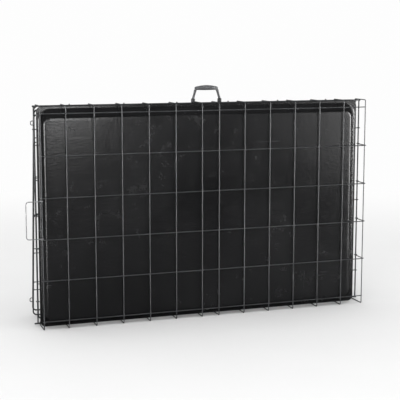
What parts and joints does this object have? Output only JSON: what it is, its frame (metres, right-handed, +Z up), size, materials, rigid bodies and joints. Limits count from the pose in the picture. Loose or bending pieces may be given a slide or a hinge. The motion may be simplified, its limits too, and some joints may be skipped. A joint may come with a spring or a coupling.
{
  "type": "wire dog crate",
  "caption": "Large wire dog crate folded flat like a suitcase and standing on edge, with slide-out plastic pan, side door and carry handle.",
  "frame": {"origin": "on the ground, under the centre of the overall box of the folded crate standing on its long edge", "axes": "+Z up (across the crate's width), +X along the crate's length from the pan's open end to the rear, -Y is the side where the floor grid's underside faces"},
  "size_m": [1.273, 0.2204, 0.8187],
  "materials": {
    "wire_coat": "semi-gloss black electro-coat over steel wire",
    "rod_coat": "semi-gloss black electro-coat over steel rod",
    "pan_plastic": "glossy black moulded ABS with a fine orange-peel texture",
    "handle_plastic": "satin dark grey moulded plastic",
    "socket_plastic": "satin near-black moulded plastic",
    "loop_wire": "worn grey coated wire"
  },
  "bodies": {
    "base": {"floor_cross_wires": "wire_coat", "floor_long_wires": "wire_coat", "lower_lip_wires": "wire_coat", "upper_lip_wires": "wire_coat", "rear_lip_wires": "wire_coat", "lower_rim_rod": "rod_coat", "upper_rim_rod": "rod_coat", "rear_rim_rod": "rod_coat", "front_rim_rod": "rod_coat", "rear_panel_frame": "rod_coat", "rear_panel_upright_wires": "wire_coat", "rear_panel_cross_wires": "wire_coat", "rear_panel_hinge_loops": "wire_coat", "front_panel_frame": "rod_coat", "front_panel_door_posts": "rod_coat", "front_panel_upright_wires": "wire_coat", "front_panel_cross_wires": "wire_coat", "front_panel_hinge_loops": "wire_coat", "front_door_frame": "rod_coat", "front_door_wires": "wire_coat", "front_door_hinge_loops": "wire_coat", "front_door_bolts": "wire_coat"},
    "pan": {"pan": "pan_plastic"},
    "pan_stop": {"pan_stop_loop": "loop_wire"},
    "side_a": {"side_a_frame": "rod_coat", "side_a_upright_wires": "wire_coat", "side_a_cross_wires": "wire_coat", "side_a_hinge_loops": "wire_coat"},
    "top": {"top_frame": "rod_coat", "top_upright_wires": "wire_coat", "top_cross_wires": "wire_coat", "top_hinge_loops": "wire_coat", "top_end_hooks": "wire_coat"},
    "side_b": {"side_b_frame": "rod_coat", "side_b_upright_wires": "wire_coat", "side_b_cross_wires": "wire_coat", "side_door_posts": "rod_coat", "side_b_hinge_loops": "wire_coat", "side_b_base_hooks": "wire_coat", "side_door_keepers": "wire_coat"},
    "side_door": {"side_door_frame": "rod_coat", "side_door_wires": "wire_coat", "side_door_hinge_loops": "wire_coat", "side_door_bolt_brackets": "wire_coat"},
    "bolt_upper": {"side_door_bolt_upper": "wire_coat"},
    "bolt_lower": {"side_door_bolt_lower": "wire_coat"},
    "handle": {"carry_handle_grip": "handle_plastic", "carry_handle_sockets": "socket_plastic"}
  },
  "joints": [
    {"name": "side_a_fold", "type": "hinge", "parent": "base", "child": "side_a", "pos_m": [0.018, -0.02746, 0.0064], "axis": [-1, 0, 0], "range_deg": [0, 90]},
    {"name": "top_fold", "type": "hinge", "parent": "side_a", "child": "top", "pos_m": [0.018, -0.01746, 0.7554], "axis": [1, 0, 0], "range_deg": [0, 262.03]},
    {"name": "side_b_fold", "type": "hinge", "parent": "top", "child": "side_b", "pos_m": [0.018, 0.09705, 0.00604], "axis": [-1, 0, 0], "range_deg": [0, 90]},
    {"name": "side_door_swing", "type": "hinge", "parent": "side_b", "child": "side_door", "pos_m": [0.523, 0.05501, 0.37124], "axis": [0, 0.1387, -0.9903], "range_deg": [0, 105]},
    {"name": "upper_bolt_slide", "type": "slide", "parent": "side_door", "child": "bolt_upper", "axis": [-1, 0, 0], "range_m": [0, 0.024]},
    {"name": "lower_bolt_slide", "type": "slide", "parent": "side_door", "child": "bolt_lower", "axis": [-1, 0, 0], "range_m": [0, 0.024]},
    {"name": "pan_slide", "type": "slide", "parent": "base", "child": "pan", "axis": [-1, 0, 0], "range_m": [0, 1.1]},
    {"name": "pan_stop_swing", "type": "hinge", "parent": "base", "child": "pan_stop", "pos_m": [-0.5808, -0.10546, 0.38], "axis": [0, 0, 1], "range_deg": [-75, 80]},
    {"name": "handle_swing", "type": "hinge", "parent": "base", "child": "handle", "pos_m": [0.0278, -0.02746, 0.7556], "axis": [1, 0, 0], "range_deg": [0, 64]}
  ],
  "couplings": [
    {"joint": "top_fold", "follows": "side_a_fold", "ratio": 2.9114},
    {"joint": "side_b_fold", "follows": "side_a_fold", "ratio": 1}
  ]
}
